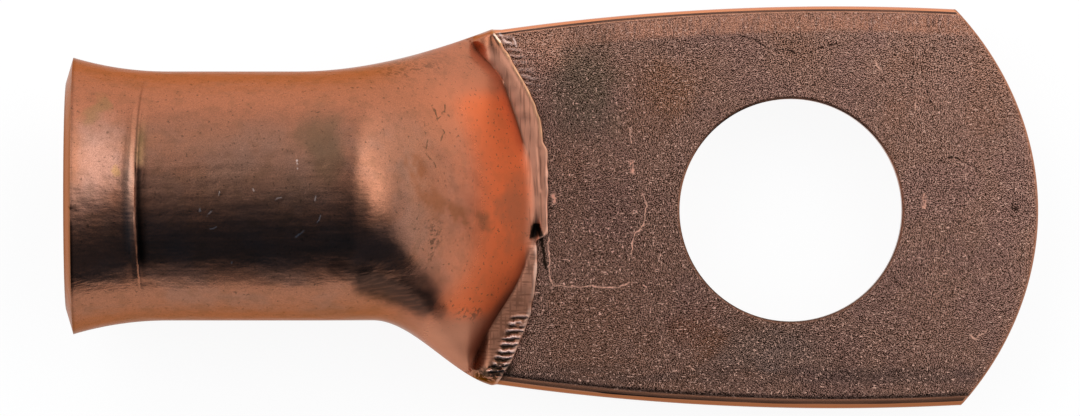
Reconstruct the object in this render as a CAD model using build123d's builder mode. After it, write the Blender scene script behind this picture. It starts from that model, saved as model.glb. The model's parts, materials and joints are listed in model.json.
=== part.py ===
from build123d import *

import os
from math import asin, cos, degrees, pi, sqrt

# Copper cable lug, made from one length of drawn copper tube.
# One end of the tube stays round as the barrel and is belled at its mouth to let a cable in.
# The other end is pressed flat into the palm, which is sheared to an arc and punched for a stud.
# X runs from the barrel to the tip of the palm and Z is up. The origin is the centre of the stud
# hole, on the contact face under the palm. All sizes are in millimetres.

# Tube
barrel_diameter = 14.5
wall = 1.5
axis_height = 5.5  # barrel's axis above the contact face
axis_shift = 0.66  # barrel's axis beside the centre line of the palm

# Belled mouth, which starts at the step that the belling tool's clamp leaves round the barrel
mouth_to_hole = 41.8
bell_length = 5.5
bell_rise = 0.8  # by which the mouth stands out past the barrel, all round
clamp_step_to_mouth = 4.1

# Pressed transition from the round tube to the palm, whose two sides spread differently
left_spread_to_hole = 28.8  # where the side at +Y starts to spread
left_spread_share = 0.3  # share of an S-shaped spread that is done at the shoulder
right_spread_to_hole = 24.4  # the same for the side at -Y
right_spread_share = 0.9
slope_to_hole = 25.6  # where the top starts to fall
shoulder_to_hole = 17.5  # widest point of the pressed tube
shoulder_overhang = 0.1  # by which the shoulder stands out past the palm's sides
nose_to_hole = 14.6  # tip of the round form that runs down to the palm
nose_roundness = 14.0  # radius across the top of the nose
slope_rounding = 0.36  # share of the slope's length over which its top rounds over
fold_length = 3.0  # length over which the folds run up into the sides of the tube

# Palm, coined thinner than the two tube walls that it is pressed from
palm_thickness = 2.6
palm_width = 23.5
palm_side_radius = 140.0  # the long sides bow out a little
widest_past_hole = 2.6
palm_shift = 0.17  # centre line of the palm beside the hole
side_bulge = 0.4  # by which the folds stand out past the flat faces
tip_radius = 16.0
tip_to_hole = 14.44
die_edge_radius = 19.3  # curved front edge of the coining die
die_edge_to_hole = 14.3

# Stud hole
hole_diameter = 13.0
edge_break = 0.15  # on the punched and sheared edges

# Sizes and places that follow from these
barrel_radius = barrel_diameter / 2
bore_radius = barrel_radius - wall
blank_thickness = 2 * wall
fold_height = blank_thickness / 2
nose_thickness = 2 * (palm_thickness - fold_height)  # so that the nose ends inside the palm
cavity_end_to_hole = nose_to_hole + wall  # the inside closes a wall's thickness earlier
axis_y = palm_shift + axis_shift
tip_centre_x = tip_to_hole - tip_radius
palm_bow = palm_side_radius - sqrt(palm_side_radius**2 - (shoulder_to_hole + widest_past_hole) ** 2)
palm_end_half_width = palm_width / 2 - palm_bow
shoulder_half_width = palm_end_half_width + shoulder_overhang
spread_to_hole = max(left_spread_to_hole, right_spread_to_hole)
spread_length = spread_to_hole - shoulder_to_hole
bell_radius = (bell_length**2 + bell_rise**2) / (2 * bell_rise)
bell_angle = degrees(asin(bell_length / bell_radius))
step_angle = degrees(asin((bell_length - clamp_step_to_mouth) / bell_radius))


def between(start, end, share):
    """Value that is the given share of the way from start to end."""
    return start + (end - start) * share


def ease(share):
    """Share of a smooth change from 0 to 1, level at both ends."""
    share = min(max(share, 0.0), 1.0)
    return share * share * (3 - 2 * share)


def fall(x, end_to_hole):
    """Share of the fall from the barrel to the palm that is done at x: rounded over, then even."""
    run = min(max((x + slope_to_hole) / (slope_to_hole - end_to_hole), 0.0), 1.0)
    rounded = min(run, slope_rounding)
    return (rounded**2 / (2 * slope_rounding) + run - rounded) / (1 - slope_rounding / 2)


def side_y(x, side, start_to_hole, share):
    """Y of one side of the tube at x: straight along the barrel, then spread in an S to the shoulder."""
    done = ease(share * (x + start_to_hole) / (start_to_hole - shoulder_to_hole)) / ease(share)
    return between(axis_y + side * barrel_radius, palm_shift + side * shoulder_half_width, min(done, 1.0))


def top_height(x, radius, end_height, end_to_hole):
    """Height of the tube's top at x, from the barrel's radius, or its bottom, to the height at the palm."""
    return between(axis_height + radius, end_height, fall(x, end_to_hole))


def nose_half_width(x):
    """Half the width of the nose at x, which closes in from the shoulder to a round front."""
    left_over = 1 - (x + shoulder_to_hole) / (shoulder_to_hole - nose_to_hole)
    round_part = nose_roundness * (top_height(x, barrel_radius, palm_thickness, nose_to_hole) - fold_height)
    shoulder_top = top_height(-shoulder_to_hole, barrel_radius, palm_thickness, nose_to_hole)
    shoulder_part = shoulder_half_width**2 - nose_roundness * (shoulder_top - fold_height)
    return sqrt(round_part + shoulder_part * left_over**3)


def sides(x):
    """Both sides of the tube at x, which close to the nose past the shoulder."""
    if x > -shoulder_to_hole:
        return palm_shift + nose_half_width(x), palm_shift - nose_half_width(x)
    left = side_y(x, 1, left_spread_to_hole, left_spread_share)
    right = side_y(x, -1, right_spread_to_hole, right_spread_share)
    return left, right


def section_plane(x):
    """Plane across the tube at x, through its widest line, which moves from the axis to the folds."""
    y = sum(sides(x)) / 2
    z = between(axis_height, fold_height, ease((x + spread_to_hole) / spread_length))
    return Plane(origin=(x, y, z), x_dir=(0, 1, 0), z_dir=(1, 0, 0))


def tube_section(x, radius, thickness, end_to_hole):
    """Section of the tube at x: two half ellipses, of a round barrel that falls to a flat blank."""
    plane = section_plane(x)
    top = top_height(x, radius, fold_height + thickness / 2, end_to_hole)
    bottom = top_height(x, -radius, fold_height - thickness / 2, end_to_hole)
    left, right = sides(x)
    width = (left - right) / 2 - (barrel_radius - radius)
    with BuildSketch(plane) as section:
        with BuildLine():
            EllipticalCenterArc((0, 0), width, top - plane.origin.Z, 0, arc_size=180)
            EllipticalCenterArc((0, 0), width, plane.origin.Z - bottom, 180, arc_size=180)
        make_face()
    return section.sketch


# Stations of the lofts, with one on the straight barrel so that the sides leave it evenly
spread_steps = 9
station_pitch = spread_length / spread_steps
seam_x = -spread_to_hole - station_pitch
spread_stations = [seam_x + index * station_pitch for index in range(spread_steps + 2)]
nose_stations = [between(-shoulder_to_hole, -nose_to_hole, share) for share in (0, 0.25, 0.5, 0.75, 1)]
closing_stations = [between(-shoulder_to_hole, -cavity_end_to_hole, share) for share in (0.5, 0.94)]
cavity_stations = [seam_x - station_pitch] + spread_stations + closing_stations

# Palm: two tube walls laid flat, with bulged folds along the bowed sides
with BuildPart() as palm:
    with BuildSketch():
        with Locations((tip_centre_x, 0)):
            Circle(tip_radius)
        with Locations((-shoulder_to_hole, 0)):
            Rectangle(shoulder_to_hole + tip_centre_x, 2 * tip_radius, align=(Align.MIN, Align.CENTER))
            Rectangle(
                shoulder_to_hole + tip_to_hole,
                2 * palm_width,
                align=(Align.MIN, Align.CENTER),
                mode=Mode.INTERSECT,
            )
    extrude(amount=blank_thickness)
    flat_radius = palm_side_radius - side_bulge
    for side in (-1, 1):
        bow_centre = (widest_past_hole, palm_shift + side * (palm_side_radius - palm_width / 2), 0)
        with BuildSketch(Plane(origin=bow_centre, x_dir=(1, 0, 0), z_dir=(0, -1, 0))):
            with BuildLine():
                Polyline((flat_radius, 0), (0, 0), (0, blank_thickness), (flat_radius, blank_thickness))
                ThreePointArc(
                    (flat_radius, blank_thickness), (palm_side_radius, fold_height), (flat_radius, 0)
                )
            make_face()
        revolve(axis=Axis(bow_centre, (0, 0, 1)), mode=Mode.INTERSECT)

    # The coining die sinks the upper face past its curved front edge
    with BuildSketch(Plane.XY.offset(palm_thickness)):
        with Locations((-die_edge_to_hole - die_edge_radius, 0)):
            Rectangle(2 * mouth_to_hole, 2 * palm_width, align=(Align.MIN, Align.CENTER))
            Circle(die_edge_radius, mode=Mode.SUBTRACT)
    extrude(amount=blank_thickness, mode=Mode.SUBTRACT)

with BuildPart() as cable_lug:
    # Pressed tube, which spreads and falls to a nose over the end of the palm
    loft([tube_section(x, barrel_radius, nose_thickness, nose_to_hole) for x in spread_stations])
    loft([tube_section(x, barrel_radius, nose_thickness, nose_to_hole) for x in nose_stations])
    add(palm.part)

    # Folds of the palm, which run up into the sides of the tube
    fold_plane = section_plane(-shoulder_to_hole - fold_length)
    with BuildSketch(section_plane(-shoulder_to_hole)):
        Rectangle(2 * (palm_end_half_width - side_bulge), blank_thickness)
    with BuildSketch(fold_plane):
        left, right = sides(fold_plane.origin.X)
        Rectangle(left - right - 2 * blank_thickness, wall)
    loft(ruled=True)

    # Inside of the pressed tube, which closes to a slit
    loft([tube_section(x, bore_radius, 0, cavity_end_to_hole) for x in cavity_stations], mode=Mode.SUBTRACT)

    # Barrel wall with its belled mouth, turned about the barrel's axis
    with BuildSketch(Plane(origin=(0, axis_y, axis_height), x_dir=(1, 0, 0), z_dir=(0, -1, 0))):
        with BuildLine():
            bell_centre = (bell_length - mouth_to_hole, barrel_radius + bell_radius)
            outer = CenterArc(bell_centre, bell_radius, 270 - bell_angle, bell_angle - step_angle)
            inner = CenterArc(bell_centre, bell_radius + wall, 270 - bell_angle, bell_angle)
            Line(outer @ 0, inner @ 0)
            step = Line(outer @ 1, ((outer @ 1).X, barrel_radius))
            Polyline(step @ 1, (seam_x, barrel_radius), (seam_x, bore_radius), inner @ 1)
        make_face()
    revolve(axis=Axis((0, axis_y, axis_height), (1, 0, 0)))

    # Stud hole, with the upper edges of the punched hole and the sheared tip broken
    Hole(hole_diameter / 2)
    round_edges = cable_lug.edges().filter_by(GeomType.CIRCLE)
    cut_edges = round_edges.filter_by(lambda edge: edge.radius in (hole_diameter / 2, tip_radius))
    chamfer(cut_edges.group_by(Axis.Z)[-1], edge_break)

cable_lug.part.label = "cable_lug"
os.makedirs("parts", exist_ok=True)
export_step(cable_lug.part, "parts/cable_lug.step")
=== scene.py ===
import json
import math

import bpy
import numpy as np
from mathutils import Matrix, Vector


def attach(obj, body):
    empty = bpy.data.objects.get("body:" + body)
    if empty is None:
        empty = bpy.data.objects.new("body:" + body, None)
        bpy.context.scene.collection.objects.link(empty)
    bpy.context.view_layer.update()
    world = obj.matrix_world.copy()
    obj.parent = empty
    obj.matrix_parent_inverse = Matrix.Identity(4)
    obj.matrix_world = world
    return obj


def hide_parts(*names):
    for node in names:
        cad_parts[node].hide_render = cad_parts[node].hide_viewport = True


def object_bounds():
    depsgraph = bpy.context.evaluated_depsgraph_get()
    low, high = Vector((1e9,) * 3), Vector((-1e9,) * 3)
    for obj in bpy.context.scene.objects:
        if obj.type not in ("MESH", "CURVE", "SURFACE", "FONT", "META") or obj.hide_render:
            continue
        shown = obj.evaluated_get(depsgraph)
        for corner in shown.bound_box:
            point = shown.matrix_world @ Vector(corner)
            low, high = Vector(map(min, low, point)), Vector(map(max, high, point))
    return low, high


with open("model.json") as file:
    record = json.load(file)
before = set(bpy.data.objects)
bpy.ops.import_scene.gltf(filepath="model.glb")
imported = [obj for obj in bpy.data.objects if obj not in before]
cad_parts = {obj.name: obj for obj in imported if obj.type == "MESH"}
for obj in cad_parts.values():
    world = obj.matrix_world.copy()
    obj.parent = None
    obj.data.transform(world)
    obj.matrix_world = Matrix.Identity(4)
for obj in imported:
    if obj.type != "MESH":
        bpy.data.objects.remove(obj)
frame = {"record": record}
cad_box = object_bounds()

# The lug is one length of drawn copper tube. Its mouth is belled, its middle is pressed down in a
# slope and its end is coined flat, then sheared to an arc and punched. It is bare copper: satin on
# the barrel, clean and orange where the press has stretched it, and dull brown on the coined palm.
to_mm = 1000  # all sizes of the lug are in millimetres
mounts = {mount["name"]: mount for mount in frame["record"]["mounts"]}

# Barrel and belled mouth
bore_radius = mounts["barrel_bore"]["dims"]["r_mm"]
axis_y, axis_z = (to_mm * mounts["barrel_bore"]["pos_m"][axis] for axis in (1, 2))
wall = 1.5
barrel_radius = bore_radius + wall
mouth_x = -41.8
bell_x = -36.3  # where the flare starts
bell_rise = to_mm * cad_box[1].z - axis_z - barrel_radius
bell_radius = ((bell_x - mouth_x) ** 2 + bell_rise**2) / (2 * bell_rise)
ring_x = -38.1  # mark of the clamp that holds the barrel while it is belled

# Pressed slope, whose two sides spread differently
left_spread_x, left_spread_share = -28.8, 0.3  # start, and share of an S that is done at the shoulder
right_spread_x, right_spread_share = -24.4, 0.9
slope_x = -25.6  # where the top starts to fall
slope_rounding = 0.36  # share of the fall over which the top rounds over
shoulder_x = -17.5
shoulder_overhang = 0.1
nose_x = -14.8
nose_roundness = 14.0
nose_blend = 0.12  # softness of the nose's foot on the flat face

# Palm, with a folded wall along each side
palm_top = to_mm * mounts["washer_face"]["pos_m"][2]
palm_half_width = to_mm * (cad_box[1].y - cad_box[0].y) / 2
palm_shift = to_mm * (cad_box[1].y + cad_box[0].y) / 2
side_radius = 140.0
widest_x = 2.6
fold_z = wall
left_bulge, right_bulge = 0.32, 0.50
flat_x = -19.4  # where the flat face starts to come out of the tube

# Coining die, whose curved front edge has a straight insert, and the sheared tip
die_x = -14.3
die_radius = 19.3
die_half_width = 10.35
insert_x = -14.24
insert_right_y, insert_left_y = -1.75, 3.9
tip_x = to_mm * cad_box[1].x
tip_radius = 16.0
tip_half_width = 11.3
edge_break = 0.15


def ease(share):
    """Smooth change from 0 to 1, level at both ends."""
    share = np.clip(share, 0, 1)
    return share * share * (3 - 2 * share)


def bump(distance, width):
    """Soft round hump that is 1 at no distance and falls away over the width."""
    return np.exp(-((distance / width) ** 2))


def half_circle(share):
    """Height of a half circle of radius 1 at a share of its half width, and none past its ends."""
    return np.sqrt(np.clip(1 - share**2, 0, None))


def waves(a, b, length, seed):
    """Even unevenness of about unit height: a sum of plane waves in random directions."""
    count = 9
    rng = np.random.default_rng(seed)
    turn = rng.uniform(0, 2 * np.pi, count)
    rate = rng.uniform(0.6, 1.6, count) * 2 * np.pi / length
    phase = rng.uniform(0, 2 * np.pi, count)
    spots = np.multiply.outer(a, rate * np.cos(turn)) + np.multiply.outer(b, rate * np.sin(turn))
    return np.sin(spots + phase).sum(axis=-1) / math.sqrt(count)


def near_line(x, y, start, end, width):
    """Soft ridge along the straight line from start to end."""
    along = np.array(end) - np.array(start)
    share = ((x - start[0]) * along[0] + (y - start[1]) * along[1]) / (along @ along)
    share = np.clip(share, 0, 1)
    return bump(np.hypot(x - start[0] - share * along[0], y - start[1] - share * along[1]), width)


def palm_width(x):
    """Half width of the palm at x, whose sides are wide arcs, with the shoulder standing out a little."""
    bow = side_radius - np.sqrt(side_radius**2 - (x - widest_x) ** 2)
    return palm_half_width - bow + shoulder_overhang * (1 - ease((x - shoulder_x) / 0.4))


def bell_flare(x):
    """How far the bell stands out past the barrel at x: an arc that is level where it starts."""
    return bell_radius - np.sqrt(bell_radius**2 - np.clip(bell_x - x, 0, None) ** 2)


def tube_sides(x, soft=False):
    """Middle line and half width of the tube at x: each side spreads along part of an S to the shoulder.

    The spread stops sharply there, or softly for the form of the tube's top.
    """
    sharpness = 12
    spreads = ((1, left_spread_x, left_spread_share), (-1, right_spread_x, right_spread_share))
    ends = []
    for side, start, share in spreads:
        done = ease(share * (x - start) / (shoulder_x - start)) / ease(share)
        done = done / (1 + done**sharpness) ** (1 / sharpness) if soft else np.minimum(done, 1)
        barrel, shoulder = axis_y + side * barrel_radius, palm_shift + side * palm_width(shoulder_x)
        ends.append(barrel + (shoulder - barrel) * done)
    return (ends[0] + ends[1]) / 2, (ends[0] - ends[1]) / 2


def widest_height(x):
    """Height of the tube's widest line at x, which sinks from the axis to the folds."""
    return axis_z + (fold_z - axis_z) * ease((x - left_spread_x) / (shoulder_x - left_spread_x))


def tube_height(x, sign, end_x, inset, flat):
    """Height of the tube's top or bottom at x: level, then rounded over, then an even fall to the end."""
    run = np.clip((x - slope_x) / (end_x - slope_x), 0, 1)
    rounded = np.minimum(run, slope_rounding)
    fall = (rounded**2 / (2 * slope_rounding) + run - rounded) / (1 - slope_rounding / 2)
    barrel, palm = axis_z + sign * (barrel_radius - inset), fold_z + sign * flat
    return barrel + (palm - barrel) * fall


def nose_width(x):
    """Half width of the nose at x, which closes in from the shoulder to a round front."""
    rise = tube_height(x, 1, nose_x, 0, palm_top - fold_z) - fold_z
    shoulder_rise = tube_height(shoulder_x, 1, nose_x, 0, palm_top - fold_z) - fold_z
    left_over = np.clip((nose_x - x) / (nose_x - shoulder_x), 0, None)
    shoulder_part = palm_width(shoulder_x) ** 2 - nose_roundness * shoulder_rise
    return np.sqrt(nose_roundness * rise + shoulder_part * left_over**3)


def press_forms(x, across, sign, thickness):
    """Y of the skin, and how far the nose and the palm's flat face stand off the widest line.

    The nose is a half ellipse across, which closes in past the shoulder, earlier at the upper corners.
    The flat face ends at each side in the round of the folded wall.
    """
    closeness = 8
    right_lead, left_lead = 1.2, 1.0
    middle_y, half_width = tube_sides(x)
    y = np.where(x > shoulder_x, palm_shift + palm_width(x) * across, middle_y + half_width * across)
    lead = right_lead * ease((-y - 3) / 6) + left_lead * ease((y - 7.6) / 2.2)
    early = lead * ease((x + 21) / 3) * (sign > 0)
    middle_y, half_width = tube_sides(x, soft=True)
    closed = (half_width**-closeness + nose_width(x + early) ** -closeness) ** (-1 / closeness)
    reach = np.abs(tube_height(x + early, sign, nose_x, 0, palm_top - fold_z) - widest_height(x))
    out = across + ((y - middle_y) / closed - across) * ease(x - flat_x)
    nose = reach * half_circle(out)
    bulge = np.where(across > 0, left_bulge, right_bulge)
    bulge_radius = (wall**2 + bulge**2) / (2 * bulge)
    from_side = np.minimum(palm_width(x) * (1 - np.abs(across)), bulge)
    flat = np.sqrt(np.clip(bulge_radius**2 - (bulge_radius - from_side) ** 2, 0, None))
    return y, nose, np.minimum(flat, thickness) * ease((x - flat_x) / (shoulder_x - flat_x))


def outer_skin(x, across, sign, thickness):
    """Outside of the lug over rows of x, from one side to the other, above or below the widest line.

    It is the higher of the nose and the flat face, which run into each other in the middle of the upper
    side, and it is flared out at the bell along an arc.
    """
    y, nose, flat = press_forms(x, across, sign, thickness)
    in_middle = ease((3.9 - np.abs(y - 0.5)) / 1.6) * (sign > 0)
    blend = nose_blend * in_middle * ease(x + 18) * ease((die_x - x) / 0.6)
    form = (nose + flat + np.sqrt((nose - flat) ** 2 + 4 * blend**2)) / 2
    flare = bell_flare(x)
    z = widest_height(x) + sign * (form + flare * half_circle(across))
    return np.stack([x, y + flare * across, z], axis=-1)


# Rows run along the tube, and columns run over it from one side to the other. One row follows the crease
# where the nose meets the flat face, and one the edge of the coining die.
column_steps = 180
across = np.cos(np.linspace(0, np.pi, column_steps + 1))
search_x = np.linspace(-18.6, nose_x, 700)[:, None] + 0 * across
_, nose, flat = press_forms(search_x, across, 1, wall)
crease = search_x[np.maximum((nose > flat).sum(axis=0) - 1, 0), 0]
smoothed = 11
crease = np.convolve(np.pad(crease, smoothed // 2, mode="edge"), np.ones(smoothed) / smoothed, "valid")
crease_x = crease.max()

columns_y = palm_shift + die_half_width * across
die_edge = die_x - die_radius + np.sqrt(die_radius**2 - columns_y**2)
die_edge = die_edge + 0.35 * bump(columns_y - 5.3, 2.2) - 0.5 * bump(columns_y + 1.0, 3.2)
in_insert = ease((columns_y - insert_right_y) / 0.4) * ease((insert_left_y - columns_y) / 0.6)
die_edge = die_edge * (1 - in_insert) + insert_x * in_insert + 0.02 * waves(columns_y, 0 * columns_y, 1.2, 3)
die_edge = np.maximum(die_edge, crease + 0.12)
tip = tip_x - tip_radius + np.sqrt(tip_radius**2 - (palm_shift + tip_half_width * across) ** 2)

# Rows are closest at the clamp's ring and at the crease
stations = np.concatenate(
    [
        np.linspace(mouth_x, -41.2, 8, endpoint=False),
        np.linspace(-41.2, -38.9, 9, endpoint=False),
        np.linspace(-38.9, -37.2, 28, endpoint=False),
        np.linspace(-37.2, left_spread_x, 14, endpoint=False),
        np.linspace(left_spread_x, -18.5, 46, endpoint=False),
        np.linspace(-18.5, crease_x, 30),
    ]
)
warp_x = -28
warp = ease((stations[:, None] - warp_x) / (crease_x - warp_x))
tube_rows = stations[:, None] + warp * (crease - crease_x)
ledge_rows = crease + np.linspace(0, 1, 17)[1:, None] * (die_edge - crease)
tube_rows = np.vstack([tube_rows, ledge_rows])
palm_start = die_edge + 0.06
palm_rows = palm_start + np.linspace(0, 1, 61)[:, None] * (tip - edge_break - palm_start)
first_palm_row = len(tube_rows)

upper = np.concatenate(
    [outer_skin(tube_rows, across, 1, wall), outer_skin(palm_rows, across, 1, palm_top - fold_z)]
)
lower = np.concatenate([outer_skin(tube_rows, across, -1, wall), outer_skin(palm_rows, across, -1, wall)])

# Marks of the making: the clamp's ring round the bell, the crease and burr at the die's edge, the tear in
# the stretched wall, and the slight waves of drawn and pressed metal. They lie along the skin's normal.
x, y, z = upper[..., 0], upper[..., 1], upper[..., 2]
in_palm = np.zeros(x.shape)
in_palm[first_palm_row:] = 1
on_tube = 1 - in_palm
on_left = across > 0
from_side = palm_width(x) * (1 - np.abs(across))
inboard = ease((from_side - 0.5) / 1.2)

# Ring: a lip at the clamp's edge, past which the flare is pressed in to the barrel's own size
lip_height, groove_depth = 0.04, 0.03
from_ring = x - ring_x - 0.1 * (axis_z + barrel_radius - z)
ring = ease((z - 7.5) / 3.5) * on_tube * ease((y + 5.6) / 1.6)
lip = bump(from_ring + 0.30, 0.17 + 0.16 * bump(y - 0.6, 2.6)) * (from_ring < 0)
foot = ring * bump(from_ring - 0.30, 0.34) * (from_ring > 0)
pressed_in = bell_flare(x) * ease(from_ring / 0.12) + groove_depth * bump(from_ring - 0.22, 0.2)
height = ring * (lip_height * lip - pressed_in)
height = height + on_tube * (0.010 * waves(x, y, 6, 1) + 0.003 * waves(x, 2 * y, 2, 2))

# Crease at the foot of the slope, and the humped ledge from there to the burr at the die's edge
crease_depth, burr_height = 0.02, 0.06
from_crease = x - crease
flank = ease((np.abs(y - 0.5) - 2.2) / 1.5)
crease_mark = flank * (1 - 0.6 * ease((np.abs(y) - 6.0) / 2)) * bump(from_crease, 0.11)
on_ledge = on_tube * ease((from_crease - 0.02) / (0.56 - 0.5 * flank))
ledge_share = np.clip(from_crease / (die_edge - crease), 0, 1)
hump = (0.05 + 0.03 * ease(y / 4)) * np.sin(np.pi * ledge_share)
burr = bump(x - die_edge + 0.05, 0.09) * on_tube * (0.65 + 0.35 * waves(x, y, 1.3, 5))
height = height + on_ledge * (hump + 0.006 * waves(x, y, 1.4, 4))
height = height - crease_depth * crease_mark + burr_height * burr

# Tear and pocket where the wall is stretched most, and the line beside each fold of the palm
tear_depth, pocket_depth, side_line_depth = 0.45, 0.05, 0.05
tear = bump(x + 14.9 - 0.12 * (y + 1.2), 0.19) * bump(y + 1.25, 0.55)
pocket = near_line(x, y, (-14.70, 3.6), (-14.62, 1.3), 0.10)
side_line = bump(from_side - np.where(on_left, 0.40, 0.60), 0.09) * in_palm
side_line = side_line * np.where(on_left, 0.12, 1.0)
height = height - tear_depth * tear - pocket_depth * pocket - side_line_depth * side_line
height = height + in_palm * (0.010 * waves(x, y, 8, 6) + 0.005 * waves(x, y, 2.5, 7))

away = ease(from_side / 0.25) * ease((x - mouth_x) / 0.8)
along, over = np.gradient(upper, axis=0), np.gradient(upper, axis=1)
normal = np.cross(over, along)
normal = normal / np.linalg.norm(normal, axis=-1, keepdims=True)
upper = upper + normal * (height * away)[..., None]

# Where each finish of the metal lies, and where light and shade are painted, as shares that the material
# reads
stretched = ease((from_crease + 6.5) / 5.5) * on_tube * (1 - on_ledge)
slope = stretched * (1 - 0.8 * ease((y - 5.8) / 2.6)) * (1 - 0.75 * ease((-5.5 - y) / 2))
ledge = on_tube * ease((from_crease + 0.5 - 0.52 * flank) / (0.9 - 0.84 * flank))
# Painted shade along the crease at the foot of the slope.
shade = bump(from_crease + 0.12, 0.35 + 0.25 * ease((-4.5 - y) / 2))
shade = shade * flank * (0.6 + 0.4 * ease((-3.5 - y) / 2))
right_teeth = ease((-5.9 - y) / 0.6) * ease((y + 9.6) / 0.4)
right_teeth = right_teeth * ease((x - die_edge + 1.1) / 0.3) * ease((die_edge - x) / 0.12)
left_teeth = ease((y - 6.8) / 0.6) * ease((x - die_edge) / 0.1) * ease((die_edge + 0.9 - x) / 0.5)
fold = in_palm * (1 - ease((from_side - np.where(on_left, 0.30, 0.48)) / 0.08))
strip = in_palm * ease((from_side - 0.3) / 0.2) * (1 - ease((from_side - 1.25) / 0.4))
strip = strip * np.where(on_left, 0.25 + 0.75 * ease((x + 13) / 5), 0)
strip = np.maximum(strip, 0.3 * in_palm * (1 - ease((tip - x) / 0.6)))
rim_crack = near_line(x, y, (mouth_x, 0.1), (mouth_x + 0.35, 0.05), 0.07)
rim_line = bump(x - mouth_x - 0.06, 0.09) * (0.4 + 0.6 * ease((-0.3 - y) / 0.8) * ease((y + 5.5) / 1.5))
# Painted shade: the crease, the tear, the pocket, the lines beside the folds, and the foot and step of the
# clamp's ring are darkened in colour; a dark line runs along the mouth's rim, with its crack.
painted_shade_and_crack = 0.55 * crease_mark + 1.1 * tear + 0.4 * pocket + 0.8 * side_line + 0.8 * rim_line + rim_crack
painted_shade_and_crack = painted_shade_and_crack + 0.95 * foot * ease((2.9 - y) / 0.6) * ease((y + 3.9) / 1.2)
painted_shade_and_crack = painted_shade_and_crack + 0.5 * ring * bump(from_ring - 0.03, 0.06) * ease((y - 1.8) / 0.8)
# Painted highlight along the burr at the die's edge and along the clamp's lip, which are also lighter
# polished metal.
polish_and_painted_highlight = burr * (0.5 + 0.35 * ease((-1.8 - y) / 0.5))
polish_and_painted_highlight = polish_and_painted_highlight + 0.35 * ring * lip * ease((3.9 - np.abs(y - 0.6)) / 2.5)
lower_marks = {"palm": in_palm * (1 - fold), "slope": slope, "fold": fold}
upper_marks = {
    **lower_marks,
    "upper": 1,
    "stretched": stretched,
    "ledge": ledge * inboard,
    "shade": shade * (1 - on_ledge) * inboard,
    "painted_shade_and_crack": np.clip(painted_shade_and_crack, 0, 1),
    "polish_and_painted_highlight": np.clip(polish_and_painted_highlight, 0, 1),
    "teeth": (right_teeth + 0.5 * left_teeth) * ease((from_side - 0.1) / 0.4),
    "olive": 0.6 * foot * ease((y - 2.2) / 0.6) * ease((5.6 - y) / 1.5),
    "strip": strip,
}

# The stud hole is punched through both walls of the coined palm, and its upper edge is broken. A block is
# left out of the palm's grids, and rings run from the block's edge in to the hole.
hole_radius = mounts["stud_hole"]["dims"]["r_mm"]
top_row, bottom_row = first_palm_row + 11, first_palm_row + 49
left, right = column_steps // 4, 3 * column_steps // 4
block = (top_row, bottom_row, left, right)
grids = []


def add_grid(points, flip, skip=None, **marks):
    """Keeps a grid of points for the mesh, with its faces turned outward, a block left out and its marks."""
    grids.append((points, flip, skip, marks))


def block_edge(grid):
    """Points round the block, in order."""
    return np.concatenate(
        [
            grid[top_row, left:right],
            grid[top_row:bottom_row, right],
            grid[bottom_row, right:left:-1],
            grid[bottom_row:top_row:-1, left],
            grid[top_row, left : left + 1],
        ]
    )


def hole_rings(edge, radius, z):
    """Rings that run evenly from the block's edge to a circle about the stud hole."""
    turn = np.arctan2(edge[:, 1], edge[:, 0])
    circle = np.stack([radius * np.cos(turn), radius * np.sin(turn), np.full(len(turn), z)], axis=-1)
    share = np.linspace(0, 1, 11)[:, None, None]
    return edge + share * (circle - edge)


upper_rings = hole_rings(block_edge(upper), hole_radius + edge_break, palm_top)
lower_rings = hole_rings(block_edge(lower), hole_radius, 0.0)
chamfer_foot = upper_rings[-1] * [1, 1, 0] * hole_radius / (hole_radius + edge_break)
chamfer_foot = chamfer_foot + [0, 0, palm_top - edge_break]
wall_share = np.linspace(0, 1, 6)[:, None, None]
add_grid(upper, False, block, **upper_marks)
add_grid(lower, True, block, **lower_marks)
add_grid(upper_rings, True, palm=1, upper=1)
add_grid(lower_rings, False, palm=1)
add_grid(np.stack([upper_rings[-1], chamfer_foot]), True, cut=1)
add_grid(chamfer_foot + wall_share * (lower_rings[-1] - chamfer_foot), True, cut=1)

# The tip is sheared to an arc, square to the faces, and its upper edge is broken like the hole's. The cut
# shows bare copper across the two walls.
sheared_top = upper[-1].copy()
sheared_top[:, 0] = tip
sheared_top[:, 2] = np.minimum(sheared_top[:, 2], palm_top - edge_break)
sheared_foot = lower[-1].copy()
sheared_foot[:, 0] = tip
add_grid(np.stack([upper[-1], sheared_top]), False, cut=1)
add_grid(sheared_top + wall_share * (sheared_foot - sheared_top), False, cut=1)
add_grid(np.stack([lower[-1], sheared_foot]), True, palm=1)

# The inside is the drawn bore of the tube. It is flared with the bell at the mouth, runs straight through
# the barrel and is pressed to a slit under the slope.
hollow_end_x = nose_x - wall
inner_bell_radius = bell_radius + wall
bell_turn = np.linspace(math.asin((bell_x - mouth_x) / bell_radius), 0, 9)
bore_x = np.linspace(-34, hollow_end_x - 0.1, 22)
inner_x = np.concatenate([bell_x - inner_bell_radius * np.sin(bell_turn), bore_x])
inner_flare = np.concatenate([inner_bell_radius * (1 - np.cos(bell_turn)), np.zeros_like(bore_x)])[:, None]
rim_share = np.linspace(0, 1, 4)[:, None, None]


def inner_skin(sign):
    """Inside of the tube: a half ellipse across, set in by the wall, that closes at the palm."""
    x = inner_x[:, None] + 0 * across
    middle_y, half_width = tube_sides(x)
    half_width = np.where(x > shoulder_x, nose_width(x), half_width) - wall
    reach = np.abs(tube_height(x, sign, hollow_end_x, wall, 0) - widest_height(x))
    reach[-1] = 0
    y = middle_y + (half_width + inner_flare) * across
    return np.stack([x, y, widest_height(x) + sign * (reach + inner_flare) * half_circle(across)], axis=-1)


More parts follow.
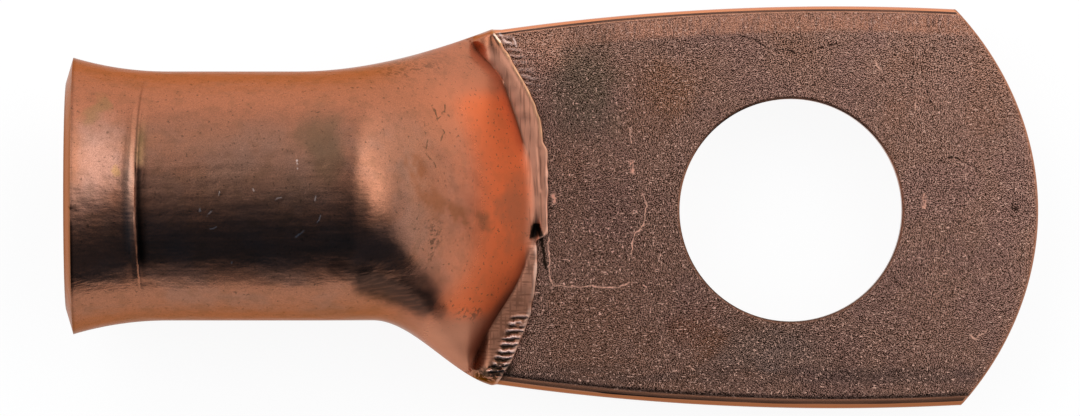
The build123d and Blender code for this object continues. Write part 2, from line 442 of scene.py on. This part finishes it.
for sign, outside in ((1, upper), (-1, lower)):
    inside = inner_skin(sign)
    add_grid(inside, sign > 0, inside=1)
    add_grid(outside[0] + rim_share * (inside[0] - outside[0]), sign > 0, cut=1)

# The lug is one piece of metal, so all its grids are joined to one closed skin. It is shaded smooth, apart
# from the edges that the shears, the punch and the die have left sharp.
mark_names = (*upper_marks, "cut", "inside")
sharp_angle = math.radians(32)


def join_grids():
    """Points, faces and marks of all the grids, with the points that they share made one."""
    points, faces, marks, start = [], [], [], 0
    for grid, flip, skip, given in grids:
        rows, columns = grid.shape[:2]
        index = start + np.arange(rows * columns).reshape(rows, columns)
        corners = np.stack([index[:-1, :-1], index[:-1, 1:], index[1:, 1:], index[1:, :-1]], axis=-1)
        kept = np.ones((rows - 1, columns - 1), bool)
        if skip:
            kept[skip[0] : skip[1], skip[2] : skip[3]] = False
        corners = corners[kept]
        faces.append(corners[:, ::-1] if flip else corners)
        points.append(grid.reshape(-1, 3))
        spread = [np.broadcast_to(given.get(name, 0), (rows, columns)).ravel() for name in mark_names]
        marks.append(np.stack(spread))
        start += rows * columns
    used, faces = np.unique(np.concatenate(faces), return_inverse=True)
    points, marks = np.concatenate(points)[used], np.concatenate(marks, axis=1)[:, used]
    _, keep, merged = np.unique(np.round(points, 4), axis=0, return_index=True, return_inverse=True)
    faces = merged.ravel()[faces].reshape(-1, 4)
    twice = faces == np.roll(faces, 1, axis=1)
    whole = twice.sum(axis=1) < 2
    corners = faces[whole][~twice[whole]]
    starts = np.cumsum(np.append(0, 4 - twice[whole].sum(axis=1)))[:-1]
    return points[keep], corners, starts, marks[:, keep]


points, corners, starts, marks = join_grids()
mesh = bpy.data.meshes.new("cable_lug_skin")
mesh.vertices.add(len(points))
mesh.vertices.foreach_set("co", (points / to_mm).astype(np.float32).ravel())
mesh.loops.add(len(corners))
mesh.loops.foreach_set("vertex_index", corners.astype(np.int32))
mesh.polygons.add(len(starts))
mesh.polygons.foreach_set("loop_start", starts.astype(np.int32))
mesh.update(calc_edges=True)
mesh.shade_smooth()
mesh.set_sharp_from_angle(angle=sharp_angle)
for name, values in zip(mark_names, marks):
    mesh.attributes.new(name, "FLOAT", "POINT").data.foreach_set("value", values.astype(np.float32))

lug = bpy.data.objects.new("cable_lug_skin", mesh)
bpy.context.scene.collection.objects.link(lug)

# The finish is bare copper with no coating, as drawing, pressing, coining and handling have left it, with
# painted light and shade in places. Its colours are mixed in that order, over the tube, the slope, the ledge,
# the palm and the cut edges.
copper = bpy.data.materials.new("copper")
copper.use_nodes = True


def node(kind, inputs, output=0, **settings):
    """Adds a node with its settings and inputs, which are values or other nodes' outputs."""
    made = tree.nodes.new(kind)
    for name, value in settings.items():
        setattr(made, name, value)
    for key, value in inputs.items():
        if isinstance(value, bpy.types.NodeSocket):
            tree.links.new(value, made.inputs[key])
        else:
            made.inputs[key].default_value = value
    return made.outputs[output]


def maths(operation, *values):
    """Result of one sum, carried along the values."""
    result = values[0]
    for value in values[1:]:
        result = node("ShaderNodeMath", {0: result, 1: value}, operation=operation)
    return result


def times(*values):
    """Product of the values."""
    return maths("MULTIPLY", *values)


def most(*values):
    """Highest of the values."""
    return maths("MAXIMUM", *values)


def vector(operation, one, other=(0, 0, 0)):
    """Result of one sum on two vectors, which is a value for a product or a length."""
    number = operation in ("DOT_PRODUCT", "LENGTH")
    return node("ShaderNodeVectorMath", {0: one, 1: other}, 1 if number else 0, operation=operation)


def scaled(base, scale):
    """Vector or colour, times a value."""
    return node("ShaderNodeVectorMath", {0: base, "Scale": scale}, operation="SCALE")


def mix(share, one, other):
    """Colour between one and the other by a share."""
    one, other = (c if isinstance(c, bpy.types.NodeSocket) else (*c, 1) for c in (one, other))
    return node("ShaderNodeMix", {0: share, 6: one, 7: other}, 2, data_type="RGBA")


def tinted(share, base, factors):
    """Base colour, times the factors by a share."""
    return mix(share, base, vector("MULTIPLY", base, factors))


def step(value, low, high):
    """0 below low, 1 above high, with a smooth change between them."""
    return node("ShaderNodeMapRange", {0: value, 1: low, 2: high}, interpolation_type="SMOOTHSTEP")


def ramp(value, low, high, start, end):
    """Even change from start to end as the value goes from low to high."""
    return node("ShaderNodeMapRange", {0: value, 1: low, 2: high, 3: start, 4: end})


def noise(place, scale, detail=2.0, stretch=(1, 1, 1)):
    """Noise at so many spots per millimetre, stretched along the axes."""
    placed = node("ShaderNodeMapping", {"Vector": place, "Scale": stretch})
    return node("ShaderNodeTexNoise", {"Vector": placed, "Scale": scale, "Detail": detail})


def start_group(name, inputs):
    """Starts a node group with these inputs and one mask as its output, and returns it with its inputs."""
    group = bpy.data.node_groups.new(name, "ShaderNodeTree")
    for key, kind in inputs.items():
        group.interface.new_socket(key, in_out="INPUT", socket_type=kind)
    group.interface.new_socket("Mask", in_out="OUTPUT", socket_type="NodeSocketFloat")
    return group, group.nodes.new("NodeGroupInput").outputs


def end_group(mask):
    """Puts the mask out of the group."""
    tree.links.new(mask, tree.nodes.new("NodeGroupOutput").inputs[0])


# Line: a thin line between two points, seen from above, for scratches and for painted streaks, shadows and
# glints
place_type = "NodeSocketVector"
scratch_and_painted_line_group, given = start_group(
    "scratch_and_painted_line", {"Place": place_type, "Start": place_type, "End": place_type, "Width": "NodeSocketFloat"}
)
tree = scratch_and_painted_line_group
along_line = vector("SUBTRACT", given["End"], given["Start"])
from_start = vector("SUBTRACT", given["Place"], given["Start"])
length_squared = vector("DOT_PRODUCT", along_line, along_line)
share = maths("DIVIDE", vector("DOT_PRODUCT", from_start, along_line), length_squared)
line_foot = scaled(along_line, node("ShaderNodeClamp", {0: share}))
gap = maths("DIVIDE", vector("LENGTH", vector("SUBTRACT", from_start, line_foot)), given["Width"])
end_group(maths("SUBTRACT", 1.0, step(gap, 0.35, 1.0)))

# Patch: a soft oval about a point, seen from above
patch_group, given = start_group("patch", {"Place": place_type, "Centre": place_type, "Size": place_type})
tree = patch_group
from_centre = vector("SUBTRACT", given["Place"], given["Centre"])
gap = vector("LENGTH", vector("DIVIDE", from_centre, given["Size"]))
end_group(maths("SUBTRACT", 1.0, step(gap, 0.35, 1.25)))

tree = copper.node_tree
shader = tree.nodes["Principled BSDF"]
mark = {name: node("ShaderNodeAttribute", {}, 2, attribute_name=name) for name in mark_names}
place = scaled(node("ShaderNodeTexCoord", {}, 3), float(to_mm))
spot_x, spot_y = (node("ShaderNodeSeparateXYZ", {0: place}, axis) for axis in (0, 1))
drawn_lines = noise(place, 1.0, 2.0, (0.22, 5.0, 5.0))
blotches = noise(place, 0.35, 3.0)
spots = noise(place, 1.3, 4.0)
small_spots = noise(place, 5.0, 2.0)
worn = step(noise(place, 3.0, 2.0), 0.36, 0.52)


def wandering(scale, reach):
    """Place seen from above, moved about by noise so that no mark has a straight edge."""
    drift = node("ShaderNodeTexNoise", {"Vector": place, "Scale": scale, "Detail": 3.0}, 1)
    drift = vector("MULTIPLY", vector("SUBTRACT", drift, (0.5, 0.5, 0.5)), (reach, reach, 0))
    return vector("ADD", vector("MULTIPLY", place, (1, 1, 0)), drift)


line_place = wandering(2.5, 0.35)
patch_place = wandering(0.5, 3.0)


def scratches_and_painted_lines(width, *lines):
    """Mask of lines through points on the upper side, each a run of X and Y."""
    mask = 0.0
    for line in lines:
        for start, end in zip(line, line[1:]):
            one = {"Place": line_place, "Start": (*start, 0), "End": (*end, 0), "Width": width}
            mask = most(node("ShaderNodeGroup", one, node_tree=scratch_and_painted_line_group), mask)
    return times(mask, mark["upper"])


def patch(centre, size, strength):
    """Mask of a soft patch on the upper side."""
    one = {"Place": patch_place, "Centre": (*centre, 0), "Size": (*size, 1)}
    return times(node("ShaderNodeGroup", one, node_tree=patch_group), mark["upper"], strength)


# Tube: brown from drawing, redder along the far side as a painted warm reflection, and orange where the slope
# is stretched clean, its core brighter as a painted reflection
drawn_brown, drawn_grey, far_side_reflection_red = (0.52, 0.215, 0.125), (0.46, 0.215, 0.14), (0.54, 0.19, 0.10)
stretched_copper, clean_orange_and_painted_reflection = (0.74, 0.22, 0.105), (0.97, 0.21, 0.07)
colour = mix(step(blotches, 0.42, 0.62), drawn_brown, drawn_grey)
# Painted warm reflection: the far side of the tube is redder.
colour = mix(times(step(spot_y, 3.5, 6.5), mark["upper"]), colour, far_side_reflection_red)
colour = mix(mark["slope"], colour, stretched_copper)
# The slope's core is clean metal, painted brighter and more orange as a painted reflection.
colour = mix(step(mark["slope"], 0.5, 1.0), colour, clean_orange_and_painted_reflection)
tube_stains_and_painted_highlight = (
    ((-31.0, 1.6), (5.5, 3.2), 0.5, (0.36, 0.20, 0.14)),
    ((-27.3, 3.8), (1.4, 2.2), 0.65, (0.20, 0.13, 0.07)),
    # Painted highlight: a pinkish-white patch on the bell.
    ((-40.2, 2.6), (1.4, 2.8), 0.45, (0.66, 0.38, 0.30)),
    ((-40.4, 5.6), (0.6, 0.9), 0.5, (0.32, 0.20, 0.08)),
    ((-39.4, 2.5), (0.3, 0.5), 0.6, (0.62, 0.34, 0.12)),
)
for centre, size, strength, tone in tube_stains_and_painted_highlight:
    colour = mix(patch(centre, size, strength), colour, tone)

# Stains and dirt of the tube, fewer on the slope
dull_brown, stain_brown = (0.17, 0.08, 0.05), (0.22, 0.11, 0.06)
speck_brown, olive = (0.12, 0.065, 0.04), (0.16, 0.11, 0.04)
dull = times(step(noise(place, 18.0, 1.0), 0.38, 0.62), step(mark["slope"], 0.6, 0.0), 0.35)
colour = mix(dull, colour, dull_brown)
stain_share = maths("SUBTRACT", 0.24, times(mark["slope"], 0.14))
colour = mix(times(step(spots, 0.48, 0.66), stain_share), colour, stain_brown)
colour = mix(times(step(small_spots, 0.64, 0.71), 0.6), colour, speck_brown)
colour = mix(mark["olive"], colour, olive)

# Brown tarnish and smears on the slope, and a painted dark streak that carries the barrel's dark reflection
# on
tarnish_brown, tarnish_red = (0.36, 0.13, 0.06), (0.46, 0.16, 0.08)
smear_black, painted_reflection_black = (0.09, 0.05, 0.03), (0.05, 0.03, 0.024)
tarnish = scratches_and_painted_lines(0.8, ((-22.0, 2.7), (-21.1, 0.9), (-20.3, 0.0), (-17.9, -0.7)))
colour = mix(times(tarnish, step(noise(place, 0.9, 3.0), 0.30, 0.60), 0.8), colour, tarnish_brown)
colour = mix(patch((-15.9, -0.2), (1.0, 2.6), 0.6), colour, tarnish_red)
smear = most(
    patch((-20.8, -1.8), (0.5, 1.3), 0.7),
    patch((-19.0, -6.2), (0.8, 0.6), 0.7),
    patch((-22.6, 8.3), (2.6, 0.8), 0.5),
)
colour = mix(times(smear, step(noise(place, 4.0, 3.0), 0.48, 0.58)), colour, smear_black)
# Painted reflection: a dark streak that carries the barrel's dark band on over the slope.
painted_reflection_streak = scratches_and_painted_lines(1.25, ((-24.7, -4.1), (-23.5, -4.5), (-22.4, -4.9), (-21.4, -5.4)))
painted_reflection_ends = scratches_and_painted_lines(0.75, ((-26.4, -3.35), (-24.7, -4.0)), ((-21.4, -5.35), (-20.6, -5.85)))
painted_reflection_streak = times(most(painted_reflection_streak, times(painted_reflection_ends, 0.65)), ramp(drawn_lines, 0.35, 0.55, 0.8, 0.92))
colour = mix(painted_reflection_streak, colour, painted_reflection_black)

# Dark squiggles on the slope, and bright pits on the barrel
squiggle_brown, pit_pink = (0.10, 0.06, 0.03), (0.96, 0.70, 0.60)
squiggles = scratches_and_painted_lines(
    0.06,
    ((-20.9, 6.1), (-20.6, 5.3), (-20.2, 5.7), (-20.15, 6.1)),
    ((-20.65, 5.3), (-20.2, 4.5), (-20.45, 4.0)),
    ((-21.2, 4.1), (-21.25, 3.3), (-20.75, 2.7), (-20.65, 2.2)),
)
colour = mix(times(squiggles, worn, 0.7), colour, squiggle_brown)
pits = scratches_and_painted_lines(
    0.065,
    ((-33.9, -0.35), (-33.6, -0.05)),
    ((-33.75, -1.05), (-33.4, -0.95)),
    ((-27.5, -0.7), (-27.3, -0.3)),
    ((-34.4, 0.2), (-34.3, 0.0)),
    ((-29.9, 0.6), (-29.6, 0.75)),
    ((-31.27, 1.25), (-31.2, 1.1)),
    ((-28.7, 2.9), (-28.7, 2.4)),
    ((-27.6, 0.8), (-27.65, 0.5)),
    ((-32.2, -0.8), (-32.2, -0.85)),
    ((-32.5, -3.0), (-32.5, -3.05)),
    ((-33.2, 1.1), (-33.2, 0.9)),
    ((-28.3, -1.2), (-28.8, -1.6)),
)
colour = mix(times(pits, worn, 0.8), colour, pit_pink)

# Foot of the slope: a pale lower corner, painted shade along the crease, and the hatched ledge, paler towards
# the far side as a painted reflection
corner_copper, crease_shade_brown = (0.88, 0.36, 0.21), (0.26, 0.07, 0.035)
ledge_brown, ledge_copper, ledge_reflection_pale = (0.46, 0.20, 0.12), (0.66, 0.30, 0.19), (0.80, 0.36, 0.23)
low_corner = times(step(mark["stretched"], 0.4, 0.9), step(spot_y, -5.5, -7.5), 0.8)
colour = mix(low_corner, colour, corner_copper)
# Painted shade along the crease.
colour = mix(mark["shade"], colour, crease_shade_brown)
# The ledge is browner towards the near side and paler towards the far side, where the pale tone is a painted
# reflection.
ledge_colour = mix(step(spot_y, -6.5, -2.5), ledge_brown, ledge_copper)
ledge_colour = mix(step(spot_y, -2.5, 0.5), ledge_colour, ledge_reflection_pale)
hatching = times(step(noise(place, 1.0, 2.0, (0.9, 8.0, 1.0)), 0.50, 0.60), step(spot_y, 0.0, -2.0))
hatching = most(hatching, step(noise(place, 1.0, 2.0, (6.0, 0.5, 1.0)), 0.52, 0.64))
ledge_colour = tinted(times(hatching, 0.6), ledge_colour, (0.45, 0.42, 0.40))
colour = mix(mark["ledge"], colour, ledge_colour)

# Palm: a fine grain from the coining die, lighter towards the tip and the far side as painted light, with a
# rubbed strip along one side
grain_dark, grain_pale, mottle_brown = (0.02, 0.008, 0.003), (0.66, 0.36, 0.265), (0.13, 0.065, 0.042)
rubbed_brown, rubbed_copper, painted_glint_pink = (0.28, 0.12, 0.07), (0.86, 0.42, 0.28), (0.90, 0.55, 0.42)
palm_grain = noise(place, 17.0, 1.0, (1.0, 1.0, 0.2))
palm_colour = mix(step(palm_grain, 0.42, 0.60), grain_dark, grain_pale)
palm_colour = mix(times(step(small_spots, 0.42, 0.62), 0.08), palm_colour, mottle_brown)
hues = noise(place, 0.25, 3.0)
palm_colour = tinted(times(step(hues, 0.50, 0.62), 0.4), palm_colour, (0.86, 0.86, 0.98))
palm_colour = tinted(times(step(hues, 0.48, 0.38), 0.4), palm_colour, (0.90, 0.82, 0.72))
palm_patches = (
    ((-11.8, 6.9), (2.2, 3.4), 0.6, (0.50, 0.70, 0.62)),
    ((-7.0, 7.2), (2.0, 2.2), 0.5, (1.0, 0.88, 0.70)),
    ((-14.4, 9.6), (2.6, 1.6), 0.8, (1.6, 1.5, 1.4)),
    ((-1.5, -8.0), (3.6, 1.6), 0.5, (0.72, 0.95, 1.12)),
    ((-5.5, -7.0), (1.6, 1.6), 0.6, (0.85, 0.68, 0.52)),
)
for centre, size, strength, factors in palm_patches:
    palm_colour = tinted(patch(centre, size, strength), palm_colour, factors)
band = times(step(spot_y, -10.4, -9.8), step(spot_y, -8.8, -9.5))
band = times(band, step(noise(place, 0.6, 2.0, (0.4, 3.0, 1.0)), 0.34, 0.56), 0.6)
palm_colour = tinted(band, palm_colour, (0.50, 0.56, 0.62))
# Painted light: the palm's top is lighter towards the tip and the far side, and its underside darker.
painted_lightness = maths("ADD", times(spot_x, 0.015), times(spot_y, 0.02), 0.86)
palm_colour = scaled(palm_colour, most(times(painted_lightness, mark["upper"]), 0.7))
rubbed = times(mark["strip"], step(noise(place, 1.0, 3.0, (7.0, 1.2, 1.0)), 0.25, 0.6))
palm_colour = mix(rubbed, palm_colour, mix(step(palm_grain, 0.40, 0.60), rubbed_brown, rubbed_copper))
# Painted glints: fine bright specks over the grain.
painted_glints = most(noise(place, 3.0, 1.0, (1.0, 4.0, 1.0)), noise(place, 3.0, 1.0, (4.0, 1.2, 1.0)))
painted_glints = most(step(painted_glints, 0.69, 0.74), step(noise(place, 8.0, 1.0), 0.67, 0.74))
palm_colour = mix(painted_glints, palm_colour, painted_glint_pink)

# Nicks, flecks and cracks of the palm
nick_copper, fleck_copper, crack_black = (0.86, 0.48, 0.35), (0.90, 0.46, 0.33), (0.04, 0.02, 0.014)
nicks = scratches_and_painted_lines(
    0.055,
    ((-14.16, -1.6), (-14.13, -3.0), (-14.07, -3.8), (-13.83, -4.4), (-10.0, -4.5), (-9.43, -4.2)),
    ((-8.66, 0.97), (-8.43, 0.2), (-8.59, -0.9), (-9.12, -1.5), (-9.36, -2.6)),
    ((-9.4, 4.7), (-9.35, 3.9)),
    ((-8.62, -4.38), (-8.48, -4.5)),
    ((-5.96, -9.1), (-5.56, -9.4)),
    ((4.88, 8.7), (5.35, 8.0)),
    ((7.33, 6.4), (7.21, 5.85)),
    ((10.52, -7.3), (10.75, -7.55), (11.44, -7.0)),
)
palm_colour = mix(times(nicks, most(worn, 0.55)), palm_colour, nick_copper)
flecks = scratches_and_painted_lines(
    0.2,
    ((-9.29, 2.8), (-9.24, 2.25)),
    ((7.78, 0.83), (7.78, 0.2)),
    ((-13.85, 0.9), (-13.8, 0.55)),
)
palm_colour = mix(times(flecks, step(noise(place, 6.0, 2.0), 0.36, 0.54)), palm_colour, fleck_copper)
cracks = scratches_and_painted_lines(
    0.08,
    ((-3.17, 10.25), (-2.1, 9.95), (-1.3, 9.4), (-0.4, 9.4), (0.45, 9.15)),
    ((1.1, 9.8), (1.6, 9.4), (2.7, 9.8), (2.84, 9.3)),
    ((7.19, 8.7), (7.04, 7.0)),
    ((7.97, 7.0), (8.35, 6.1)),
    ((8.44, 2.8), (9.5, 3.15), (11.0, 2.35)),
    ((5.93, -3.8), (6.63, -4.75)),
    ((9.4, -0.6), (9.9, -0.7)),
    ((-14.24, 0.13), (-13.78, 0.13)),
)
cracks = most(cracks, scratches_and_painted_lines(0.3, ((13.0, 0.25), (13.1, 0.1))))
broken = most(step(small_spots, 0.44, 0.56), 0.15)
palm_colour = mix(times(cracks, broken), palm_colour, crack_black)
colour = mix(mark["palm"], colour, palm_colour)

# Folds, painted darker on the near side and lighter on the far side, and the teeth, dirt, painted glints and
# painted shadow at the die's edge
fold_shade_brown, fold_lit_copper = (0.48, 0.21, 0.12), (0.97, 0.45, 0.275)
tooth_highlight_pink, tooth_gap_shade, corner_black = (0.96, 0.64, 0.54), (0.07, 0.035, 0.02), (0.04, 0.025, 0.015)
corner_glint_pink, tear_shadow_black = (0.95, 0.66, 0.56), (0.025, 0.015, 0.01)
tooth_pitch = 0.40
# The folds are painted darker on the near side and lighter on the far side, as painted shade and light.
colour = mix(mark["fold"], colour, mix(step(spot_y, -1.0, 1.0), fold_shade_brown, fold_lit_copper))
teeth_y = maths("ADD", spot_y, times(spots, 0.6))
teeth_wave = node("ShaderNodeMath", {0: times(teeth_y, 2 * math.pi / tooth_pitch)}, operation="SINE")
teeth_share = times(mark["teeth"], step(noise(place, 1.6, 2.0), 0.28, 0.50))
# The teeth's crests are painted bright and their gaps dark: painted highlight and shade over their relief.
colour = mix(times(step(teeth_wave, 0.0, 0.6), teeth_share), colour, tooth_highlight_pink)
colour = mix(times(step(teeth_wave, -0.2, -0.7), teeth_share), colour, tooth_gap_shade)
corner_dirt = scratches_and_painted_lines(0.75, ((-18.0, -9.75), (-16.7, -9.3)))
colour = mix(times(corner_dirt, step(small_spots, 0.40, 0.48), 0.9), colour, corner_black)
# Painted glints at the upper corner of the die's edge.
painted_corner_glints = scratches_and_painted_lines(
    0.10,
    ((-17.35, 10.25), (-16.95, 9.85)),
    ((-17.0, 10.35), (-16.85, 10.1)),
    ((-16.75, 10.0), (-16.35, 9.65)),
    ((-16.2, 10.0), (-16.1, 9.6)),
)
colour = mix(painted_corner_glints, colour, corner_glint_pink)
# Painted shade: black in the tear, and a painted shadow along the edge of the die's insert.
painted_tear_shadow = scratches_and_painted_lines(0.2, ((-15.12, -1.55), (-15.0, -0.95), (-14.78, -0.85), (-14.58, -1.5)))
painted_tear_shadow = most(painted_tear_shadow, scratches_and_painted_lines(0.13, ((-14.58, -1.5), (-14.45, -2.3), (-14.33, -3.4))))
colour = mix(painted_tear_shadow, colour, tear_shadow_black)

# Cut edges, the inside, the hole's wall with painted light and shade, a painted highlight on the polished
# burr and lip, and painted shade in the creases and recesses, with the rim's crack
hole_shade_brown, hole_lit_copper, cut_copper = (0.06, 0.03, 0.02), (0.62, 0.28, 0.17), (0.52, 0.24, 0.15)
inside_brown, painted_shade_black = (0.30, 0.14, 0.09), (0.012, 0.008, 0.007)
bright_pink, bright_gold = (0.90, 0.56, 0.42), (0.90, 0.60, 0.27)
# The hole's wall is painted dark on the near side as painted shade, and a lighter copper on the far side as
# painted light.
at_hole = times(step(spot_x, 8.0, 7.5), step(spot_x, -8.0, -7.5))
hole_colour = mix(step(spot_y, -3.0, 3.5), hole_shade_brown, hole_lit_copper)
colour = mix(mark["cut"], colour, mix(at_hole, cut_copper, hole_colour))
colour = mix(mark["inside"], colour, inside_brown)
# Painted highlight on the polished burr and lip.
colour = mix(mark["polish_and_painted_highlight"], colour, mix(step(spot_y, 2.5, 5.0), bright_pink, bright_gold))
# Painted shade in the creases and recesses, and the rim's crack.
colour = mix(mark["painted_shade_and_crack"], colour, painted_shade_black)
tree.links.new(colour, shader.inputs["Base Color"])

# Gloss: satin on the tube, duller on the slope, the ledge and the palm
rough = maths("SUBTRACT", ramp(drawn_lines, 0.3, 0.7, 0.21, 0.26), times(step(spot_x, -28.0, -24.0), 0.05))
rough = maths("ADD", rough, times(step(mark["stretched"], 0.5, 1.0), 0.18))
rough = maths("ADD", rough, times(mark["ledge"], 0.25), times(mark["palm"], 0.32))
tree.links.new(rough, shader.inputs["Roughness"])
metal = maths("SUBTRACT", 1.0, times(mark["stretched"], 0.42))
tree.links.new(metal, shader.inputs["Metallic"])
shader.inputs["Specular Tint"].default_value = (0.75, 0.48, 0.36, 1)

# Fine relief, in millimetres: drawn lines and dents on the tube, grain on the palm, and the teeth
line_depth, dent_depth, grain_depth, tooth_depth = 0.008, 0.04, 0.04, 0.05
tube_share = maths("SUBTRACT", 1.0, mark["palm"])
streaked = times(step(spot_x, -28.0, -26.0), step(spot_x, -21.0, -23.0))
streaked = most(streaked, step(spot_x, -38.0, -38.6))
streaked = times(maths("ADD", times(streaked, 0.5), 0.5), ramp(spot_x, -22.5, -20.0, 1.0, 0.15))
dented = times(noise(place, 1.4, 5.0, (0.7, 1.0, 1.0)), ramp(spot_x, -27.0, -22.0, 1.0, 0.08))
relief_height = maths(
    "ADD",
    times(drawn_lines, tube_share, streaked, line_depth),
    times(dented, tube_share, dent_depth),
    times(palm_grain, mark["palm"], grain_depth),
    times(teeth_wave, teeth_share, tooth_depth),
)
relief = node("ShaderNodeBump", {"Height": relief_height, "Distance": 1 / to_mm, "Strength": 1.0})
tree.links.new(relief, shader.inputs["Normal"])

mesh.materials.append(copper)
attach(lug, "root")
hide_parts("cable_lug")

# The floor is a plain white board, level with the lowest point of the bell. It is white to the camera and
# in the metal, a little dimmer on the near side there, and it takes the lug's shadow.
floor_mesh = bpy.data.meshes.new("floor")
half, floor_z = 3.0, cad_box[0].z
floor_corners = [(x, y, floor_z) for x, y in ((-half, -half), (half, -half), (half, half), (-half, half))]
floor_mesh.from_pydata(floor_corners, [], [(0, 1, 2, 3)])
floor = bpy.data.objects.new("floor", floor_mesh)
bpy.context.scene.collection.objects.link(floor)
white = bpy.data.materials.new("white_floor")
white.use_nodes = True
tree = white.node_tree
tree.nodes.clear()
path = tree.nodes.new("ShaderNodeLightPath")
seen = most(path.outputs["Is Camera Ray"], path.outputs["Is Glossy Ray"])
matt = node("ShaderNodeBsdfDiffuse", {"Color": (0.9, 0.9, 0.9, 1)})
far_side = step(node("ShaderNodeSeparateXYZ", {0: node("ShaderNodeTexCoord", {}, 3)}, 1), -0.02, 0.02)
far_side = most(far_side, path.outputs["Is Camera Ray"])
lit = node("ShaderNodeEmission", {"Color": (1, 1, 1, 1), "Strength": ramp(far_side, 0.0, 1.0, 0.80, 1.08)})
floor_shade = node("ShaderNodeMixShader", {0: times(seen, 0.85), 1: matt, 2: lit})
tree.links.new(floor_shade, tree.nodes.new("ShaderNodeOutputMaterial").inputs[0])
floor_mesh.materials.append(white)

# The light is a plain studio: pale all round, dark overhead and towards the near side, with a soft box
# high over each end of the lug and a faint cool fill that reaches the darkest metal.
world = bpy.data.worlds.new("studio")
bpy.context.scene.world = world
world.use_nodes = True
tree = world.node_tree
tree.nodes.clear()
way = node("ShaderNodeTexCoord", {}, 0)
way_x, way_y, way_z = (node("ShaderNodeSeparateXYZ", {0: way}, axis) for axis in (0, 1, 2))
lean = maths("ARCTAN2", times(way_y, -1.0), way_z)
sideways = node("ShaderNodeMath", {0: way_x}, operation="ABSOLUTE")


def graded(lean, levels):
    """Light level by the lean of its direction, from stops of degrees and levels."""
    turn = maths("ADD", maths("DIVIDE", lean, 2 * math.pi), 0.5)
    stops = node("ShaderNodeValToRGB", {0: turn}).node
    for number, (degrees, level) in enumerate(levels):
        stop = stops.color_ramp.elements[number] if number < 2 else stops.color_ramp.elements.new(1.0)
        stop.position, stop.color = degrees / 360 + 0.5, (level, level, level, 1)
    return stops.outputs[0]


above = graded(
    lean,
    (
        (-180, 0.85), (-97, 0.95), (-76, 0.74), (-50, 0.56), (-35, 0.37), (-21, 0.15), (-3, 0.07), (10, 0.03),
        (25, 0.0), (60, 0.0), (70, 0.07), (84, 0.28), (100, 0.6), (180, 0.85),
    ),
)
beside = graded(
    maths("SUBTRACT", lean, times(step(sideways, 0.4, 0.75), 0.44)),
    (
        (-180, 0.85), (-97, 1.05), (-60, 1.2), (-38, 1.65), (-18, 1.5), (0, 0.6), (11, 0.25), (24, 0.08),
        (38, 0.02), (86, 0.02), (95, 0.6), (180, 0.85),
    ),
)
far = graded(
    lean,
    (
        (-180, 0.9), (-60, 0.9), (-26, 0.78), (0, 0.72), (20, 0.6), (36, 0.58), (50, 0.75), (75, 0.85),
        (100, 0.95), (180, 0.9),
    ),
)
level = node("ShaderNodeMix", {0: step(sideways, 0.0, 0.36), 2: above, 3: beside}, 0, data_type="FLOAT")
level = node("ShaderNodeMix", {0: step(sideways, 0.76, 1.0), 2: level, 3: far}, 0, data_type="FLOAT")
studio = node("ShaderNodeBackground", {"Color": (1, 1, 1, 1), "Strength": level})
cool_fill = node("ShaderNodeBackground", {"Color": (0.16, 0.48, 1.0, 1), "Strength": 0.05})
studio = node("ShaderNodeAddShader", {0: studio, 1: cool_fill})
plain = node("ShaderNodeBackground", {"Color": (1, 1, 1, 1), "Strength": 1.0})
camera_ray = tree.nodes.new("ShaderNodeLightPath").outputs["Is Camera Ray"]
both = node("ShaderNodeMixShader", {0: camera_ray, 1: studio, 2: plain})
tree.links.new(both, tree.nodes.new("ShaderNodeOutputWorld").inputs[0])

# The camera looks straight down on the palm from a metre away, through a long lens that shows the lug
# almost without perspective.
picture_x, picture_y = -0.01465, 0.00013  # middle of the picture, in metres
view_distance = 1.0
camera_data = bpy.data.cameras.new("camera")
camera_data.lens = 571
camera_data.clip_end = 20
camera = bpy.data.objects.new("camera", camera_data)
camera.location = (picture_x, picture_y, palm_top / to_mm + view_distance)
bpy.context.scene.collection.objects.link(camera)
bpy.context.scene.camera = camera
bpy.context.scene.view_settings.view_transform = "Standard"
